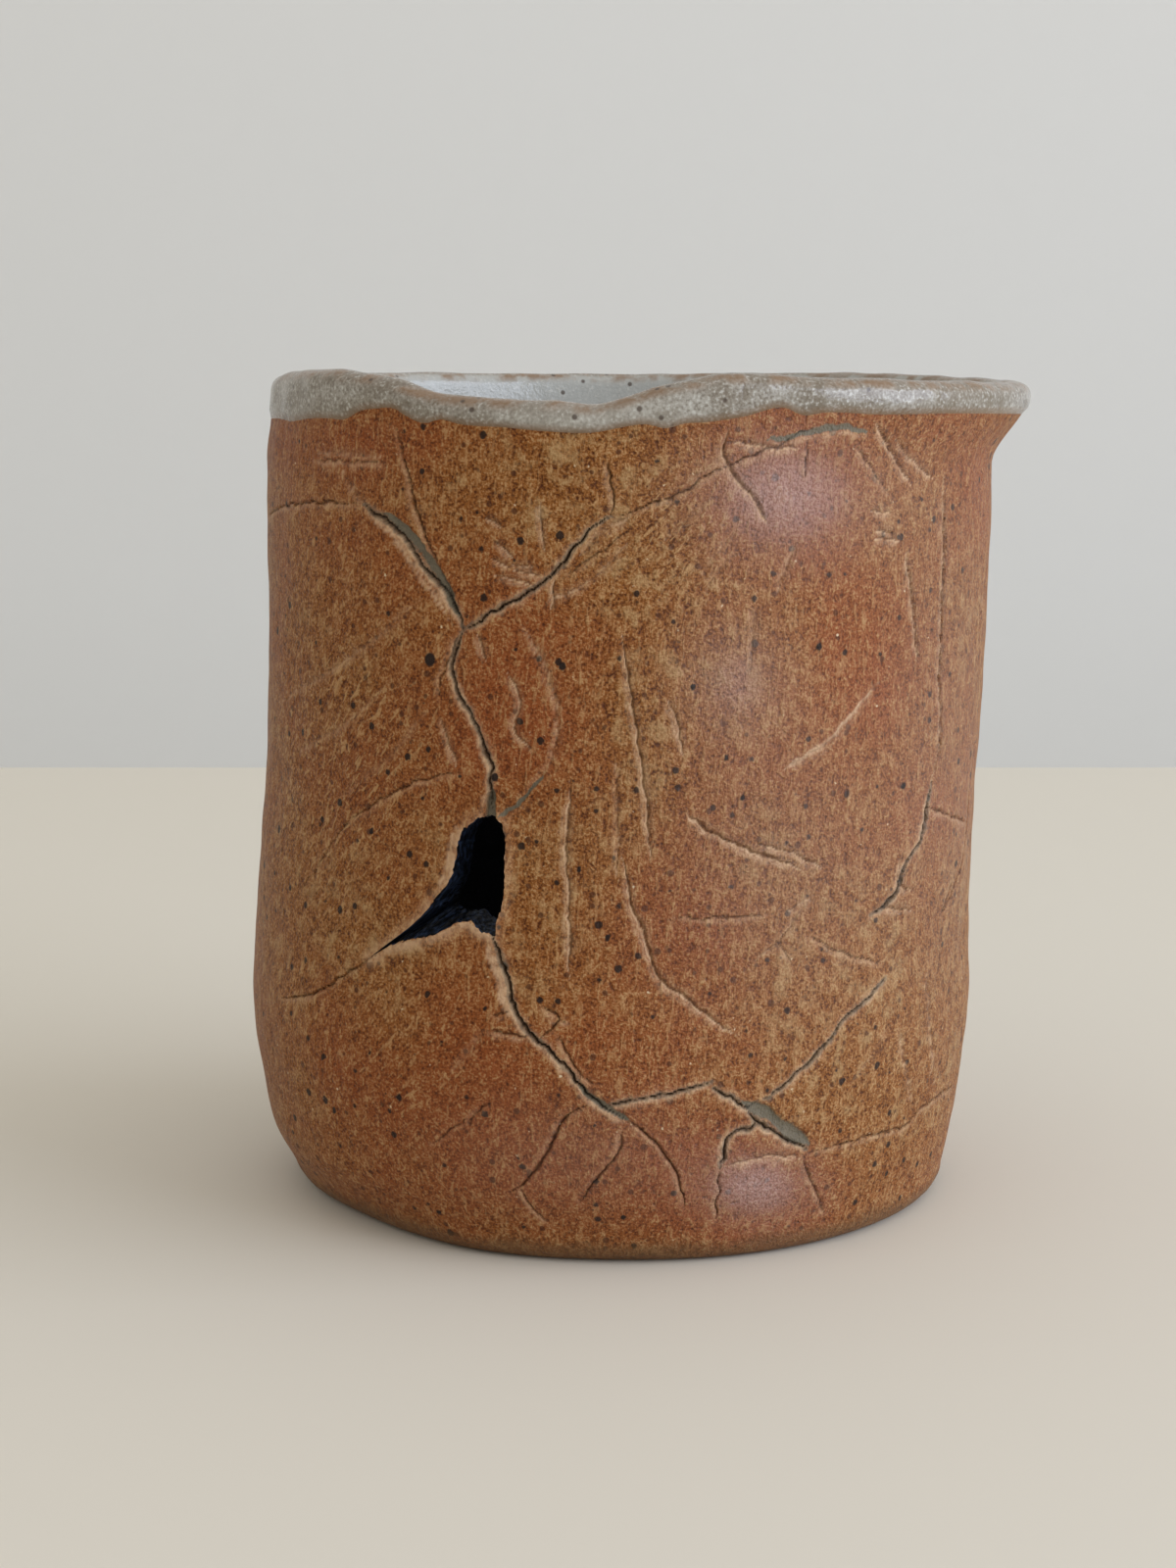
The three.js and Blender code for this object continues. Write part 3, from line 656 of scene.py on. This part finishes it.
def soft_noise(places, lumps, seed):
    """Smooth noise at each place; lumps gives how far it goes either way and the size of its features."""
    reach, size = lumps
    shift = Vector((seed * 17.3, seed * 5.1, seed * 9.7))
    return reach * np.array([noise.noise(Vector(p) / size + shift) for p in places])


def light_facing(side):
    """How much a slope on one side of a mark faces the light, which weighs the painted highlight and
    painted shade.
    """
    return ramp(-0.2, 0.8, side)


def press_marks(places, flat):
    """Each mark's groove, and what the finishes need to know of it: glaze pools, pale edges with painted
    highlight on their lit side, and painted shade down the grooves and on their shaded sides.
    """
    ragged = flat + np.stack([soft_noise(places, WANDER_OF_MARKS, seed) for seed in (3, 4)], axis=-1)
    ragged += np.stack([soft_noise(places, FRAY_OF_MARKS, seed) for seed in (5, 6)], axis=-1)
    swell = 1 + soft_noise(places, SWELL_OF_MARKS, 7)
    push, pool, pale_and_highlight, painted_shade = np.zeros((4, len(flat)))
    for name, (kind, width, deep, _) in MARKS.items():
        limit = width + 2
        distance, along, below = reach_of(PATHS[name], ragged, limit)
        taper = np.sqrt(np.clip(np.minimum(along, 1 - along) * 6, 0.1, 1))
        half = width / 2 * taper * swell * (HAIRLINE_SHARE if kind == "hairline" else 1)
        core = np.clip(1 - distance / half, 0, 1)
        shore = np.exp(-((distance - half - SHORE_OFF) / SHORE_WIDTH) ** 2) * (distance < limit) * taper
        # lit and shaded weigh the painted highlight and painted shade by how each side of the mark faces
        # the light
        lit = light_facing(below)
        shaded = light_facing(-below)
        if kind == "crack":
            groove = deep * taper * core ** 0.6
            push = np.minimum(push, -groove) + 0.2 * shore
            pool = np.maximum(pool, 0.45 * ramp(0, 0.3, 1 - distance / (half + 0.3)))
            # Pale raised edge with painted highlight on its lit side, and painted shade down the crack's
            # middle
            pale_and_highlight = np.maximum(pale_and_highlight, shore * (0.3 + 0.7 * lit))
            painted_shade = np.maximum(painted_shade, ramp(0.2, 0.7, core))
        elif kind == "pool":
            push = np.minimum(push, -deep * taper * ramp(0, 0.6, core))
            pool = np.maximum(pool, ramp(0.02, 0.7, core))
            # Painted highlight on the pool's lit shore
            pale_and_highlight = np.maximum(pale_and_highlight, 0.6 * shore * lit)
        elif kind == "hairline":
            push = np.minimum(push, -0.8 * deep * taper * core) + 0.06 * shore
            # Faint pale edge with painted highlight on its lit side, and painted shade down the hairline
            pale_and_highlight = np.maximum(pale_and_highlight, shore * (0.05 + 0.35 * lit))
            painted_shade = np.maximum(painted_shade, 0.68 * ramp(0.1, 0.7, core))
        elif kind == "chip":
            push += deep * taper * core
            # Chip painted pale: partly the broken edge, partly painted highlight
            pale_and_highlight = np.maximum(pale_and_highlight, 0.85 * ramp(0, 0.5, core))
        else:
            push = np.minimum(push, -deep * taper * ramp(0, 1, core)) + 0.3 * deep * shore
            strength = 0.9 if kind == "crease" else 0.55
            # Creases and scratches: painted highlight on the lit side, painted shade on the shaded side
            pale_and_highlight = np.maximum(pale_and_highlight, strength * (0.25 + 0.75 * lit) * ramp(0.05, 0.45, core + 0.25 * shore))
            painted_shade = np.maximum(painted_shade, 0.5 * strength * shaded * ramp(0, 0.45, core + 0.2 * shore))
    return push, pool, pale_and_highlight, painted_shade


def near_places(flat, patches):
    """How strongly each wall point lies in patches of the photograph, each a centre, a half width, a half
    height and a weight.
    """
    turn = flat[:, 0] / UNROLL
    seen = to_photo(formed(outside_radius(flat[:, 1]), flat[:, 1], turn))
    front = ramp(0.1, 0.4, np.cos(turn))
    total = np.zeros(len(flat))
    for x, y, wide, tall, weight in patches:
        off = ((seen[:, 0] - x) / wide) ** 2 + ((seen[:, 1] - y) / tall) ** 2
        total += weight * np.exp(-PATCH_FALL * off) * front
    return total


def sculpt(cup):
    """Presses the marks into the outside, and notes for the finishes where each one is."""
    places = places_of(cup.data.vertices, "co")
    flat = flattened(places)
    depth = depth_in_wall(places)
    skin = 1 - ramp(0.1, 1.5, depth)
    push, pool, pale_and_highlight, painted_shade = press_marks(places, flat)
    torn, _, below = reach_of(TEAR_RING, flat, TORN_REACH)
    push += TORN_RISE * np.exp(-(torn / TORN_RISE_WIDTH) ** 2) * (torn < TORN_REACH)
    # Pale band round the tear: pale broken clay, with painted highlight stronger on the side that faces the
    # light
    pale_and_highlight = np.maximum(pale_and_highlight, (0.3 + 0.7 * light_facing(below)) * np.exp(-(torn / TORN_PALE_AND_HIGHLIGHT_WIDTH) ** 2))
    above = places[:, 2] - glaze_edge(flat[:, 0] / UNROLL)
    lip = ramp(-0.1, 0.7, above)
    push += lip * (GLAZE_STEP + soft_noise(places, GLAZE_LUMPS, 8))
    push += soft_noise(places, SLOW_LUMPS, 1) + soft_noise(places, QUICK_LUMPS, 2)
    # Glossy places: real gloss and swelling, and a painted sheen and highlight in the colour
    gloss_and_sheen = near_places(flat, GLOSS_AND_SHEEN_PATCHES)
    push += GLASSY_SWELL * ramp(0.5, 1.2, gloss_and_sheen)
    spot = np.zeros(len(flat))
    for (u, v), (_, _, width) in zip(unrolled(SPOTS), SPOTS):
        gap = np.hypot((flat[:, 0] - u) * 1.15, flat[:, 1] - v)
        spot = np.maximum(spot, np.clip(1.5 - gap / (width / 2), 0, 1))
    turn = flat[:, 0] / UNROLL
    reach = radius_of(places) + push * skin * ramp(0.2, 2, places[:, 2])
    crest = ramp(HEIGHT - 1.5, HEIGHT - 0.4, places[:, 2])
    height = places[:, 2] + crest * soft_noise(places, CREST_LUMPS, 9)
    move_vertices(cup.data, formed(reach, height, turn))
    notes = {
        # The pale note carries pale edges with painted highlight, and the dark note carries painted shade
        # in the marks
        "pool": pool * skin, "pale_and_highlight": pale_and_highlight * skin, "painted_shade": painted_shade * skin, "spot": spot * skin,
        "flash": near_places(flat, FLASHES), "gloss_and_sheen": gloss_and_sheen,
        "slanted": near_places(flat, SLANTED), "above_edge": above, "crest": crest,
        "inside": ramp(LIP_WALL * 0.6, LIP_WALL * 0.9, depth),
        "foot": 1 - ramp(1.5, 3.6, places[:, 2] + soft_noise(places, FOOT_LINE, 10)),
    }
    for name, values in notes.items():
        note = cup.data.attributes.new(name, "FLOAT", "POINT")
        note.data.foreach_set("value", values.astype(np.float32))


def finish_faces(cup):
    """Gives the lip its pale glaze and the inside below it its black finish, before the tear is cut."""
    places = places_of(cup.data.polygons, "center")
    turn = turn_of(places)
    inside = depth_in_wall(places) > WALL * 0.75
    index = np.where(places[:, 2] > glaze_edge(turn), LIP, CLAY)
    deep = inside & (places[:, 2] > FLOOR * 0.5)
    index = np.where(deep, np.where(places[:, 2] > around(DIP_INSIDE, turn), LIP, BLACK_INSIDE), index)
    cup.data.polygons.foreach_set("material_index", index.astype(np.int32))


def paint(code):
    """An sRGB hex colour as linear red, green, blue and alpha."""
    parts = [int(code[i:i + 2], 16) / 255 for i in (1, 3, 5)]
    return tuple(p / 12.92 if p <= 0.04045 else ((p + 0.055) / 1.055) ** 2.4 for p in parts) + (1.0,)


def put(tree, kind, inputs=None, out=0, **settings):
    """Adds a node with its settings; each input takes a value or another node's output. Gives an output.

    Numbered inputs: 0 value, 1 and 2 from, 3 and 4 to of Map Range; 0 share, 6 and 7 colours of Mix.
    """
    made = tree.nodes.new("ShaderNode" + kind)
    for name, value in settings.items():
        setattr(made, name, value)
    for socket, value in (inputs or {}).items():
        if isinstance(value, bpy.types.NodeSocket):
            tree.links.new(value, made.inputs[socket])
        else:
            made.inputs[socket].default_value = value
    return made.outputs[out] if made.outputs else None


def new_finish(name, notes=()):
    """Starts a material that knows places on the piece and the piece's noted values."""
    material = bpy.data.materials.new(name)
    material.use_nodes = True
    tree = material.node_tree
    tree.nodes.clear()
    place = put(tree, "TexCoord", out="Object")
    note = {n: put(tree, "Attribute", out="Fac", attribute_name=n) for n in notes}
    return material, tree, place, note


def surfaced(material, inputs):
    """Ends a material with a surface that takes these inputs."""
    tree = material.node_tree
    put(tree, "OutputMaterial", {"Surface": put(tree, "BsdfPrincipled", inputs)})
    return material


def stoneware():
    """Toasted stoneware in a thin semi-gloss salt glaze: brown stipple on orange clay, and iron specks."""
    material, tree, place, note = new_finish("salt_fired_stoneware", (
        "flash", "gloss_and_sheen", "slanted", "pool", "pale_and_highlight", "painted_shade", "spot", "foot"))

    # Stipple of the glaze, clumps of it, and the drift of tone over the whole wall
    stipple = put(tree, "TexNoise", {
        "Vector": place, "Scale": 1 / (0.32 * MM), "Detail": 3.0, "Roughness": 0.65})
    clump = put(tree, "TexNoise", {"Vector": place, "Scale": 1 / (1.3 * MM), "Detail": 2.0})
    drift = put(tree, "TexNoise", {"Vector": place, "Scale": 1 / (15 * MM), "Detail": 2.0})

    # Strokes of the tools that smoothed the slab: upright, and at a slant where noted
    upright = put(tree, "Mapping", {
        "Vector": place, "Rotation": (0.06, 0.1, 0.6), "Scale": (1, 1, 4)}, vector_type="TEXTURE")
    slant = put(tree, "Mapping", {
        "Vector": place, "Rotation": (0, math.radians(46), math.radians(163)), "Scale": (6, 1, 1),
    }, vector_type="TEXTURE")
    up_strokes = put(tree, "TexNoise", {
        "Vector": upright, "Scale": 1 / (0.6 * MM), "Detail": 2.0, "Distortion": 0.9})
    slant_strokes = put(tree, "TexNoise", {
        "Vector": slant, "Scale": 1 / (0.6 * MM), "Detail": 2.0, "Distortion": 0.9})
    strokes = put(tree, "Mix", {0: note["slanted"], 2: up_strokes, 3: slant_strokes})

    tone = put(tree, "MapRange", {0: drift, 1: 0.3, 2: 0.7, 3: -0.45, 4: 0.45})
    tone = put(tree, "Math", {0: tone, 1: note["flash"]}, operation="ADD")
    contrast = put(tree, "MapRange", {0: tone, 1: -0.6, 2: 0.9, 3: 1.85, 4: 1.3})
    contrast = put(tree, "Math", {0: note["gloss_and_sheen"], 1: -0.1, 2: contrast}, operation="MULTIPLY_ADD")
    speckle = put(tree, "Math", {0: clump, 1: 0.3, 2: stipple}, operation="MULTIPLY_ADD")
    speckle = put(tree, "Math", {0: strokes, 1: 0.15, 2: speckle}, operation="MULTIPLY_ADD")
    speckle = put(tree, "Math", {0: speckle, 1: 0.725}, operation="SUBTRACT")
    speckle = put(tree, "Math", {0: speckle, 1: contrast}, operation="MULTIPLY")

    redden = put(tree, "MapRange", {0: tone, 1: -0.8, 2: 0.9}, interpolation_type="SMOOTHSTEP")
    lighten = put(tree, "MapRange", {0: speckle, 1: 0.02, 2: 0.3})
    darken = put(tree, "MapRange", {0: speckle, 1: -0.02, 2: -0.3, 4: 0.95})
    layers = [(redden, "#8e4b21"), (lighten, "#b48b5e"), (darken, "#481f06")]

    # Pale ash glaze that gathered in patches where the clay is golden
    patches = put(tree, "TexNoise", {
        "Vector": place, "Scale": 1 / (2.6 * MM), "Detail": 5.0, "Roughness": 0.7})
    ash = put(tree, "MapRange", {0: patches, 1: 0.5, 2: 0.66, 4: 0.5})
    golden = put(tree, "MapRange", {0: tone, 1: 0.15, 2: -0.6})
    ash = put(tree, "Math", {0: ash, 1: golden}, operation="MULTIPLY")
    layers.append((ash, "#b09468"))

    # Orange peel of the salt: brown pits close together, and pale scratches along the strokes
    pits = put(tree, "TexVoronoi", {"Vector": place, "Scale": 1 / (0.65 * MM)}, out="Distance")
    pits = put(tree, "MapRange", {0: pits, 1: 0.36, 2: 0.16})
    patchy = put(tree, "MapRange", {0: clump, 1: 0.58, 2: 0.4, 4: 0.65})
    pitted = put(tree, "Math", {0: pits, 1: patchy}, operation="MULTIPLY")
    bright = put(tree, "MapRange", {0: note["slanted"], 3: 0.3, 4: 0.75})
    scratched = put(tree, "MapRange", {0: strokes, 1: 0.56, 2: 0.65, 4: bright})
    layers += [(pitted, "#502509"), (scratched, "#bf9767")]

    # Brown blots, iron specks and pale grains of the clay: cell in millimetres, share of cells without one,
    # size as a share of the cell, strength, colour
    for cell, bare, size, strength, tint in (
            (1.4, 0.6, 0.3, 0.75, "#45200b"),
            (2.1, 0.45, 0.24, 0.95, "#22140d"),
            (1.6, 0.7, 0.1, 0.9, "#dcc6a4")):
        cells = put(tree, "TexVoronoi", {"Vector": place, "Scale": 1 / (cell * MM)}).node
        chance = put(tree, "SeparateColor", {0: cells.outputs["Color"]})
        reach = put(tree, "MapRange", {0: chance, 1: bare, 2: 1.0, 4: size})
        inside = put(tree, "Math", {0: reach, 1: cells.outputs["Distance"]}, operation="SUBTRACT")
        inside = put(tree, "Math", {0: stipple, 1: 0.3, 2: inside}, operation="MULTIPLY_ADD")
        share = put(tree, "MapRange", {0: inside, 1: 0.13, 2: 0.18, 4: strength})
        layers.append((share, tint))

    # Painted lilac sheen and painted highlight on the glassy places, standing in for the window's
    # reflection
    painted_sheen = put(tree, "Math", {0: note["gloss_and_sheen"], 1: 0.45}, operation="MULTIPLY")
    painted_highlight = put(tree, "MapRange", {0: note["gloss_and_sheen"], 1: 0.55, 2: 1.1, 4: 0.75})
    grain = put(tree, "MapRange", {0: stipple, 1: 0.4, 2: 0.6, 3: 0.25})
    painted_highlight = put(tree, "Math", {0: painted_highlight, 1: grain}, operation="MULTIPLY")
    layers += [(painted_sheen, "#987a70"), (painted_highlight, "#bb9a96")]

    # The turn of the foot, then what the marks bring: pale edges with painted highlight, glaze pools,
    # painted shade in the grooves
    broken = put(tree, "MapRange", {0: clump, 1: 0.36, 2: 0.58, 3: 0.4, 4: 1.0})
    # Pale edges: partly broken clay, mostly painted highlight on the side that faces the light
    edges = put(tree, "Math", {0: note["pale_and_highlight"], 1: broken}, operation="MULTIPLY")
    pools = put(tree, "MapRange", {0: note["pool"], 1: 0.15, 2: 0.7, 4: 0.9})
    # Painted shade down the grooves and on their shaded sides
    shade_in_marks = put(tree, "Math", {0: note["painted_shade"], 1: 0.9}, operation="MULTIPLY")
    spots = put(tree, "MapRange", {0: note["spot"], 1: 0.3, 2: 0.6, 4: 0.97})
    # A darker greyish-brown band mixed in on the turn of the foot
    foot = put(tree, "Math", {0: note["foot"], 1: 0.65}, operation="MULTIPLY")
    layers += [(foot, "#6c5237"), (edges, "#d3b08e"), (pools, "#6d6a5c"), (shade_in_marks, "#21170f")]
    layers.append((spots, "#1d1411"))

    colour = paint("#8e5824")
    for share, tint in layers:
        colour = put(tree, "Mix", {0: share, 6: colour, 7: paint(tint)}, 2, data_type="RGBA")

    rough = put(tree, "MapRange", {0: stipple, 1: 0.35, 2: 0.65, 3: 0.36, 4: 0.48})
    rough = put(tree, "Math", {0: note["gloss_and_sheen"], 1: -0.16, 2: rough}, operation="MULTIPLY_ADD")
    shine = put(tree, "MapRange", {0: note["gloss_and_sheen"], 3: 0.15, 4: 0.55})
    brushed = put(tree, "MapRange", {0: note["slanted"], 3: 0.8, 4: 2.0})
    relief = put(tree, "Math", {0: strokes, 1: brushed, 2: stipple}, operation="MULTIPLY_ADD")
    relief = put(tree, "Math", {0: clump, 1: 1.0, 2: relief}, operation="MULTIPLY_ADD")
    relief = put(tree, "Math", {0: pitted, 1: -0.3, 2: relief}, operation="MULTIPLY_ADD")
    normal = put(tree, "Bump", {"Strength": 1.0, "Distance": 0.32 * MM, "Height": relief})
    return surfaced(material, {
        "Base Color": colour, "Roughness": rough, "Specular IOR Level": shine, "Normal": normal})


def lip_glaze():
    """Pale dip glaze on the lip: grey-white and glassy, thin and tan along its edges, with iron specks."""
    material, tree, place, note = new_finish("pale_dip_glaze", (
        "crest", "above_edge", "flash", "inside"))
    cloud = put(tree, "TexNoise", {"Vector": place, "Scale": 1 / (2.5 * MM), "Detail": 4.0})
    speckle = put(tree, "TexNoise", {"Vector": place, "Scale": 1 / (0.38 * MM), "Detail": 2.0})
    cloudy = put(tree, "MapRange", {0: cloud, 1: 0.35, 2: 0.65})
    freckled = put(tree, "MapRange", {0: speckle, 1: 0.5, 2: 0.32, 4: 0.75})
    warm = put(tree, "MapRange", {0: note["flash"], 2: 0.4, 4: 0.5})
    thick = put(tree, "MapRange", {0: note["flash"], 2: -0.4, 4: 0.35})
    milky = put(tree, "MapRange", {0: speckle, 1: 0.55, 2: 0.72, 4: 0.7})
    thin = put(tree, "MapRange", {0: note["above_edge"], 1: 0.9, 2: 0.1, 4: 0.8})
    thin = put(tree, "Math", {0: thin, 1: note["inside"]}, operation="SUBTRACT", use_clamp=True)
    worn = put(tree, "MapRange", {0: cloud, 1: 0.42, 2: 0.6, 3: 0.1, 4: 0.85})
    worn = put(tree, "Math", {0: worn, 1: note["crest"]}, operation="MULTIPLY")
    cells = put(tree, "TexVoronoi", {"Vector": place, "Scale": 1 / (2.4 * MM)}, out="Distance")
    fleck = put(tree, "MapRange", {0: cells, 1: 0.16, 2: 0.09, 4: 0.85})
    colour = paint("#7b7265")
    for share, tint in (
            (cloudy, "#a09c94"), (freckled, "#62574a"), (warm, "#6f6555"), (thick, "#b0aea6"),
            (note["inside"], "#adaeaa"), (milky, "#c4c3bd"), (thin, "#6e5032"), (worn, "#7a5b3c"),
            (fleck, "#42332a")):
        colour = put(tree, "Mix", {0: share, 6: colour, 7: paint(tint)}, 2, data_type="RGBA")
    relief = put(tree, "Math", {0: speckle, 1: 0.25, 2: cloud}, operation="MULTIPLY_ADD")
    normal = put(tree, "Bump", {"Strength": 0.6, "Distance": 0.3 * MM, "Height": relief})
    return surfaced(material, {"Base Color": colour, "Roughness": 0.18, "Normal": normal})


def black_inside_finish():
    """Black on the inside below the lip's glaze: smooth and dark, with a slow drift of gloss."""
    material, tree, place, _ = new_finish("black_inside")
    cloud = put(tree, "TexNoise", {"Vector": place, "Scale": 1 / (4 * MM), "Detail": 3.0})
    colour = put(tree, "Mix", {0: cloud, 6: paint("#0a0b0d"), 7: paint("#17191d")}, 2, data_type="RGBA")
    rough = put(tree, "MapRange", {0: cloud, 1: 0.3, 2: 0.7, 3: 0.2, 4: 0.36})
    normal = put(tree, "Bump", {"Strength": 0.4, "Distance": 0.3 * MM, "Height": cloud})
    return surfaced(material, {"Base Color": colour, "Roughness": rough, "Normal": normal})


def torn_glaze():
    """Torn clay coated black: blue-black and glassy over the fibres of the tear, its blue streaks partly
    the coat's strokes and partly painted reflection.
    """
    material, tree, place, _ = new_finish("glazed_torn_clay")
    slant = put(tree, "Mapping", {
        "Vector": place, "Rotation": (0, math.radians(41), math.radians(152)), "Scale": (6, 1, 1),
    }, vector_type="TEXTURE")
    fibres = put(tree, "TexNoise", {"Vector": slant, "Scale": 1 / (0.45 * MM), "Detail": 3.0})
    share = put(tree, "MapRange", {0: fibres, 1: 0.46, 2: 0.68})
    # Blue streaks along the fibres: partly the black coat's strokes, partly painted reflection
    colour = put(tree, "Mix", {0: share, 6: paint("#07080c"), 7: paint("#2b3850")}, 2, data_type="RGBA")
    normal = put(tree, "Bump", {"Strength": 1.0, "Distance": 0.4 * MM, "Height": fibres})
    return surfaced(material, {
        "Base Color": colour, "Roughness": 0.4, "Specular IOR Level": 0.2, "Normal": normal})


def stage_finish():
    """Matt paint: warm and pale on the table, cooler on the wall behind it."""
    material, tree, place, _ = new_finish("pale_table_and_wall")
    away = put(tree, "SeparateXYZ", {0: place}, out="Y")
    share = put(tree, "MapRange", {0: away, 1: TABLE_BACK, 2: TABLE_BACK + 0.01})
    colour = put(tree, "Mix", {0: share, 6: paint("#dbd6cb"), 7: paint("#e1e1df")}, 2, data_type="RGBA")
    return surfaced(material, {"Base Color": colour, "Roughness": 0.8})


def lay_stage():
    """A table that ends behind the cup, a drop behind its back edge, and a wall beyond the drop."""
    bpy.ops.object.select_all(action="DESELECT")
    bpy.ops.mesh.primitive_plane_add(size=1)
    stage = bpy.context.object
    stage.name = "table_and_wall"
    bpy.ops.transform.resize(value=(STAGE_WIDTH, TABLE_BACK - TABLE_FRONT, 1))
    bpy.ops.transform.translate(value=(0, (TABLE_BACK + TABLE_FRONT) / 2, 0))
    bpy.ops.object.transform_apply(location=True, rotation=True, scale=True)
    work_on(stage, "EDIT")
    bpy.ops.mesh.select_mode(type="EDGE")
    bpy.ops.mesh.select_all(action="DESELECT")
    work_on(stage, "OBJECT")
    for edge in stage.data.edges:
        edge.select = all(stage.data.vertices[v].co.y > 0 for v in edge.vertices)
    work_on(stage, "EDIT")
    span = WALL_BEHIND - TABLE_BACK
    for step in ((0, 0.01, -0.005), (0, 0.005, -DROP), (0, span, 0), (0, 0.01, WALL_TALL)):
        bpy.ops.mesh.extrude_edges_move(TRANSFORM_OT_translate={"value": step})
    face_outwards(stage)
    bpy.ops.object.shade_flat()
    stage.data.materials.append(stage_finish())


def light(name, place, aim, size, power, tint):
    lamp = bpy.data.lights.new(name, "AREA")
    lamp.shape = "RECTANGLE"
    lamp.size, lamp.size_y = size
    lamp.energy = power
    lamp.color = paint(tint)[:3]
    holder = bpy.data.objects.new(name, lamp)
    holder.location = place
    holder.rotation_euler = (Vector(aim) - Vector(place)).to_track_quat("-Z", "Y").to_euler()
    bpy.context.scene.collection.objects.link(holder)


def set_scene():
    scene = bpy.context.scene
    scene.view_settings.view_transform = "Standard"
    camera = bpy.data.cameras.new("camera")
    camera.sensor_width = SENSOR
    camera.lens = SENSOR * PHOTO_FOCAL / PHOTO_HEIGHT
    camera.clip_start = 0.01
    holder = bpy.data.objects.new("camera", camera)
    holder.location = EYE * MM
    holder.rotation_euler = (math.pi / 2 - PITCH, 0, 0)
    scene.collection.objects.link(holder)
    scene.camera = holder
    world = bpy.data.worlds.new("room")
    world.use_nodes = True
    tree = world.node_tree
    toward = put(tree, "SeparateXYZ", {0: put(tree, "TexCoord", out="Generated")})
    strength = put(tree, "MapRange", {0: toward, 1: -1.0, 2: 1.0, 3: LIGHT_FROM_LEFT, 4: LIGHT_FROM_RIGHT})
    tree.links.new(strength, tree.nodes["Background"].inputs["Strength"])
    tree.nodes["Background"].inputs["Color"].default_value = paint("#f6f2ea")
    scene.world = world
    light("window", place=(0.9, -0.33, 0.3), aim=(0, 0, 0.05), size=(1.0, 0.7), power=8.6, tint="#dfeaff")


set_scene()
lay_stage()
mug = throw_cup()
for finish in (stoneware(), lip_glaze(), black_inside_finish(), torn_glaze()):
    mug.data.materials.append(finish)
refine(mug, ("crack", "pool", "hairline", "crease", "scratch", "chip", "spot", "tear"), NEAR_MARKS)
refine(mug, ("crack", "hairline", "pool", "crease", "tear"), AT_MARKS)
finish_faces(mug)
cut_tear(mug)
sculpt(mug)
take_up(mug)
bpy.ops.object.shade_smooth_by_angle(angle=math.radians(SMOOTH_BELOW))
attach(mug, "root")
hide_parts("mug")
